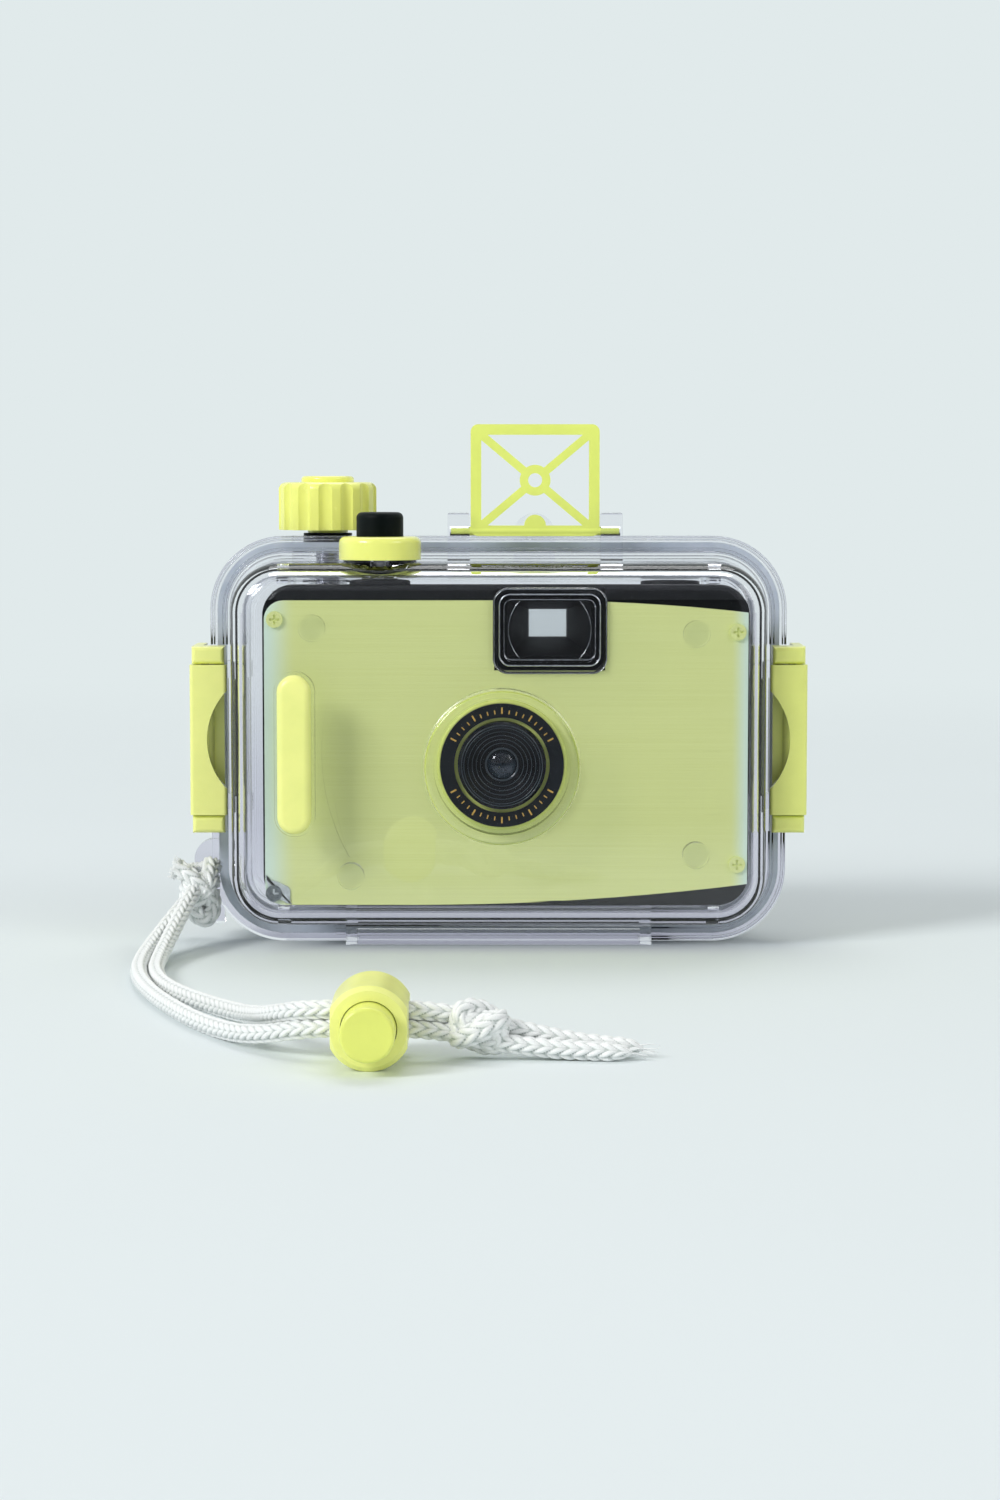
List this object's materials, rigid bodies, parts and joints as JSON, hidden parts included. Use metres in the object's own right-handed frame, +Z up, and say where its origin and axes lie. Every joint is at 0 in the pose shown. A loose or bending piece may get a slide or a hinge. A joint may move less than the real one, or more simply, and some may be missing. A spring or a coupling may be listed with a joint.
{
  "type": "underwater camera",
  "caption": "Clear hinged-clasp diving case with a 35 mm film camera inside, winding knob, shutter button, folding sports sight and a braided wrist strap with a toggle.",
  "frame": {"origin": "middle of the case's footprint on the surface it stands on", "axes": "+X to the right as seen from the lens side along the long edge, +Y from the lens side to the back, +Z up"},
  "size_m": [0.137, 0.1886, 0.1086],
  "materials": {
    "clear_shell": "clear, glossy",
    "lime_gloss": "satin gloss",
    "lime_satin": "fine brushed lines",
    "black_plastic": "matte",
    "black_rubber": "matte",
    "seal_rubber": "clear grey",
    "lens_glass": "coated",
    "steel": "satin",
    "film": "glossy",
    "white_cord": "braided"
  },
  "bodies": {
    "case": {"front_shell": "clear_shell", "back_shell": "clear_shell", "case_seal": "seal_rubber", "front_grip": "lime_gloss", "camera_chassis": "black_plastic", "camera_faceplate": "lime_satin", "camera_top_cover": "black_plastic", "camera_back_door": "black_plastic", "camera_screws": "steel", "lens_seat": "lime_satin", "lens_ring": "black_plastic", "lens_mount": "black_plastic", "lens_glass": "lens_glass", "lens_board": "black_plastic", "finder_frame": "black_plastic", "finder_front_lens": "lens_glass", "finder_back_lens": "lens_glass", "pressure_plate": "black_plastic", "film_strip": "film", "film_cassette": "steel", "knob_seal": "black_rubber", "shutter_collar": "lime_gloss", "button_seal": "black_rubber", "button_spring": "steel", "right_hinge_pin": "steel", "left_hinge_pin": "steel", "strap_cord_rear": "white_cord", "strap_cord_fore": "white_cord", "lug_knot": "white_cord", "strap_loops": "white_cord", "end_knot": "white_cord", "lock_barrel": "lime_gloss", "lock_spring": "steel"},
    "winding_knob": {"advance_knob": "lime_gloss", "advance_shaft": "steel", "advance_shaft_clip": "steel"},
    "thumb_wheel": {"advance_wheel": "black_plastic"},
    "spool": {"take_up_spool": "black_plastic"},
    "rewind": {"rewind_knob": "black_plastic", "cassette_core": "black_plastic"},
    "button": {"shutter_button": "black_rubber", "shutter_plunger": "black_plastic"},
    "release": {"release_button": "black_plastic"},
    "blade": {"shutter_blade": "steel"},
    "sight": {"sight_frame": "lime_gloss"},
    "right_clasp": {"right_clasp_link": "lime_gloss", "right_lever_pin": "steel"},
    "right_lever": {"right_clasp_lever": "lime_gloss"},
    "left_clasp": {"left_clasp_link": "lime_gloss", "left_lever_pin": "steel"},
    "left_lever": {"left_clasp_lever": "lime_gloss"},
    "toggle_button": {"lock_button": "lime_gloss"}
  },
  "joints": [
    {"name": "winding_knob_turn", "type": "hinge", "parent": "case", "child": "winding_knob", "pos_m": [-0.0364, 0.012, 0.0865], "axis": [0, 0, 1], "continuous": true},
    {"name": "thumb_wheel_turn", "type": "hinge", "parent": "case", "child": "thumb_wheel", "pos_m": [-0.0364, 0.012, 0.0724], "axis": [0, 0, 1], "continuous": true},
    {"name": "spool_turn", "type": "hinge", "parent": "case", "child": "spool", "pos_m": [-0.0364, 0.0022, 0.0668], "axis": [0, 0, 1], "continuous": true},
    {"name": "rewind_turn", "type": "hinge", "parent": "case", "child": "rewind", "pos_m": [0.036, 0.001, 0.0758], "axis": [0, 0, 1], "continuous": true},
    {"name": "shutter_press", "type": "slide", "parent": "case", "child": "button", "axis": [0, 0, -1], "range_m": [0, 0.0015], "stiffness_N_per_m": 400, "springref_m": -0.002, "deforming": ["button_spring"]},
    {"name": "release_press", "type": "slide", "parent": "case", "child": "release", "axis": [0, 0, -1], "range_m": [0, 0.0016], "stiffness_N_per_m": 50, "springref_m": -0.002},
    {"name": "shutter_blade_swing", "type": "hinge", "parent": "case", "child": "blade", "pos_m": [0.0092, -0.0098, 0.0388], "axis": [0, 1, 0], "range_deg": [0, 35], "stiffness_Nm_per_rad": 0.0002, "springref_deg": -45.84},
    {"name": "sight_fold", "type": "hinge", "parent": "case", "child": "sight", "pos_m": [0.0076, -0.0045, 0.0865], "axis": [-1, 0, 0], "range_deg": [0, 90]},
    {"name": "toggle_press", "type": "slide", "parent": "case", "child": "toggle_button", "axis": [0, 1, 0], "range_m": [0, 0.0022], "stiffness_N_per_m": 500, "springref_m": -0.002, "deforming": ["lock_spring"]},
    {"name": "right_clasp_swing", "type": "hinge", "parent": "case", "child": "right_clasp", "pos_m": [0.0594, 0.0078, 0.043], "axis": [0, 0, 1], "range_deg": [0, 95]},
    {"name": "right_lever_lift", "type": "hinge", "parent": "right_clasp", "child": "right_lever", "pos_m": [0.0614, -0.0041, 0.043], "axis": [0, 0, 1], "range_deg": [0, 60]},
    {"name": "left_clasp_swing", "type": "hinge", "parent": "case", "child": "left_clasp", "pos_m": [-0.0594, 0.0078, 0.043], "axis": [0, 0, -1], "range_deg": [0, 95]},
    {"name": "left_lever_lift", "type": "hinge", "parent": "left_clasp", "child": "left_lever", "pos_m": [-0.0614, -0.0041, 0.043], "axis": [0, 0, -1], "range_deg": [0, 60]}
  ],
  "couplings": [
    {"joint": "thumb_wheel_turn", "follows": "winding_knob_turn", "ratio": 1},
    {"joint": "spool_turn", "follows": "winding_knob_turn", "ratio": -0.55556},
    {"joint": "release_press", "follows": "shutter_press", "ratio": 1}
  ]
}
